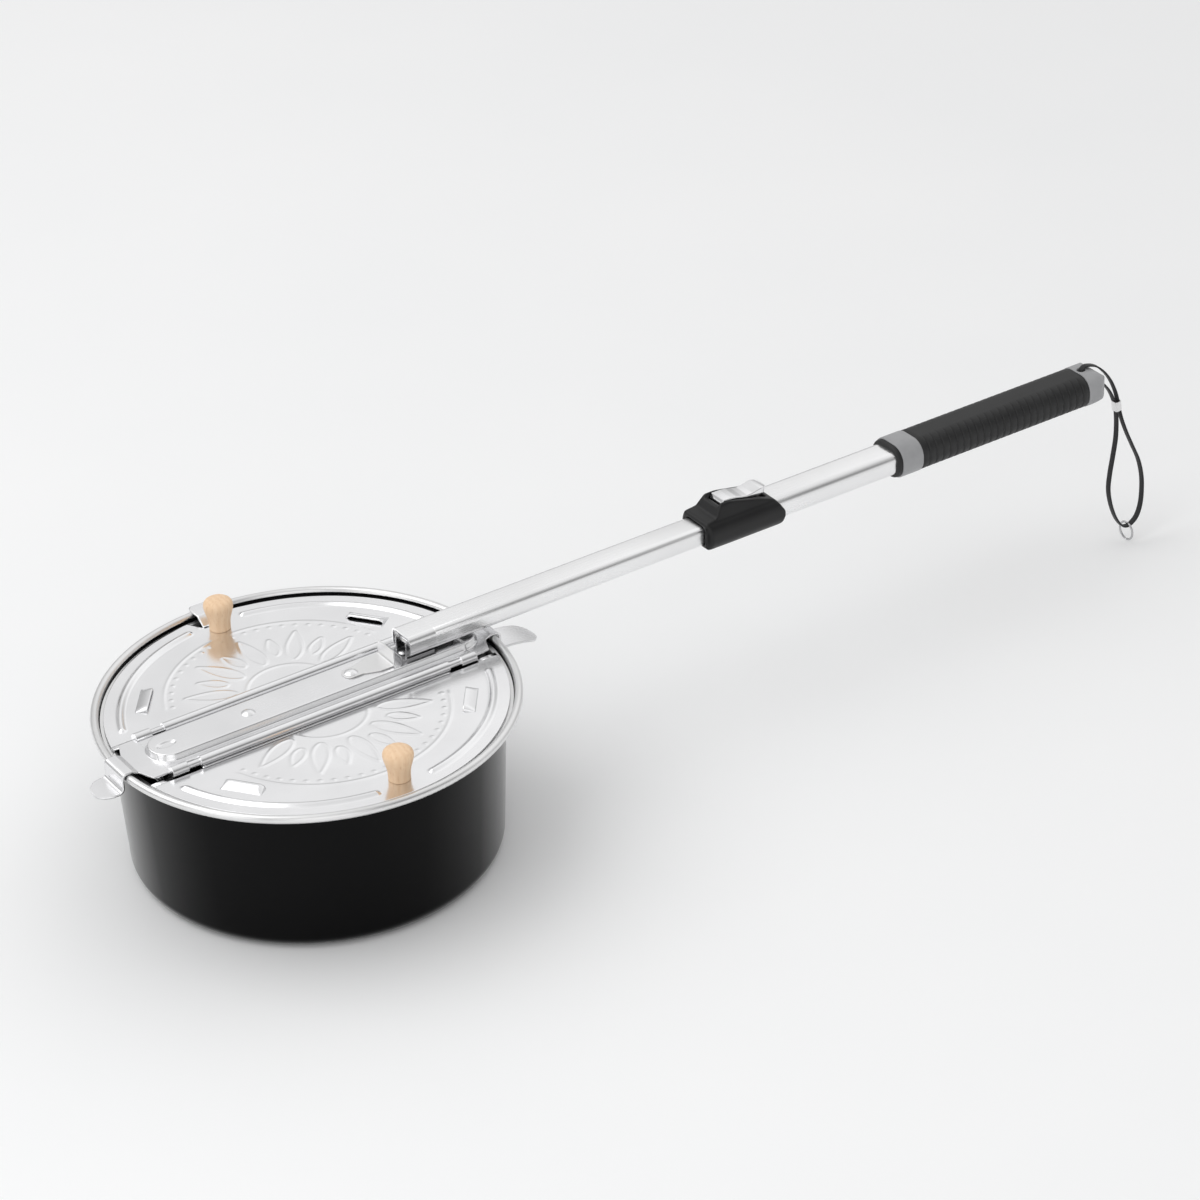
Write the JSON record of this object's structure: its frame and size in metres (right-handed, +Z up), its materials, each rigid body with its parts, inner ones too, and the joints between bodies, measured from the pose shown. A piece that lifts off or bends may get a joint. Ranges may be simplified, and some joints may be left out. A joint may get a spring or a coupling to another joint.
{
  "type": "campfire popcorn popper",
  "caption": "Deep round popping pan with a clip-on lid of two hinged halves and a folding, telescoping handle with a thumb lock, rubber grip and wrist strap.",
  "frame": {"origin": "centre of the pan's flat bottom, on the surface it stands on", "axes": "+Z up through the pan; +X along the handle, from the pan to the grip"},
  "size_m": [0.7301, 0.2415, 0.1245],
  "materials": {
    "pan_enamel": "gloss",
    "bar_steel": "satin",
    "lid_metal": "polished",
    "knob_wood": "satin",
    "tube_metal": "satin",
    "collar_plastic": "matte",
    "lever_chrome": "polished",
    "grip_rubber": "matte",
    "cap_plastic": "satin",
    "strap_web": "matte"
  },
  "bodies": {
    "pan_body": {"pan": "pan_enamel"},
    "lid_frame": {"cross_bar": "bar_steel", "hinge_pins": "bar_steel", "bar_rivets": "bar_steel", "pivot_bracket": "bar_steel", "bracket_rivets": "bar_steel", "pivot_pin": "bar_steel", "handle_rest": "grip_rubber"},
    "near_half": {"near_lid": "lid_metal", "near_knob": "knob_wood", "near_knob_screw": "bar_steel", "near_knob_washer": "bar_steel"},
    "far_half": {"far_lid": "lid_metal", "far_knob": "knob_wood", "far_knob_screw": "bar_steel", "far_knob_washer": "bar_steel"},
    "latch_arm": {"latch": "bar_steel"},
    "handle_inner": {"lower_tube": "tube_metal", "guide_bush": "collar_plastic"},
    "handle_outer": {"upper_tube": "tube_metal", "lock_collar": "collar_plastic", "collar_screws": "bar_steel", "lever_pin": "bar_steel", "lever_spring": "bar_steel", "grip": "grip_rubber", "grip_lip": "grip_rubber", "front_ring": "cap_plastic", "end_cap": "cap_plastic", "wrist_strap": "strap_web", "strap_crimp": "lever_chrome", "strap_ring": "lever_chrome"},
    "thumb_lever": {"lock_lever": "lever_chrome", "brake_pad": "grip_rubber"}
  },
  "joints": [
    {"name": "lid_lift", "type": "slide", "parent": "pan_body", "child": "lid_frame", "axis": [0, 0, 1], "range_m": [0, 0.06]},
    {"name": "near_lid_hinge", "type": "hinge", "parent": "lid_frame", "child": "near_half", "pos_m": [0, -0.0205, 0.09468], "axis": [-1, 0, 0], "range_deg": [0, 88]},
    {"name": "far_lid_hinge", "type": "hinge", "parent": "lid_frame", "child": "far_half", "pos_m": [0, 0.0205, 0.09468], "axis": [1, 0, 0], "range_deg": [0, 88]},
    {"name": "latch_turn", "type": "hinge", "parent": "lid_frame", "child": "latch_arm", "pos_m": [0.029, 0, 0.0995], "axis": [0, 0, 1], "range_deg": [-30, 30]},
    {"name": "handle_fold", "type": "hinge", "parent": "lid_frame", "child": "handle_inner", "pos_m": [0.066, 0, 0.10678], "axis": [0, -1, 0], "range_deg": [0, 95]},
    {"name": "handle_slide", "type": "slide", "parent": "handle_inner", "child": "handle_outer", "axis": [1, 0, 0], "range_m": [-0.11, 0]},
    {"name": "lever_press", "type": "hinge", "parent": "handle_outer", "child": "thumb_lever", "pos_m": [0.293, 0, 0.11898], "axis": [0, 1, 0], "range_deg": [0, 5], "stiffness_Nm_per_rad": 0.3, "springref_deg": -5.73, "deforming": ["lever_spring"]}
  ]
}
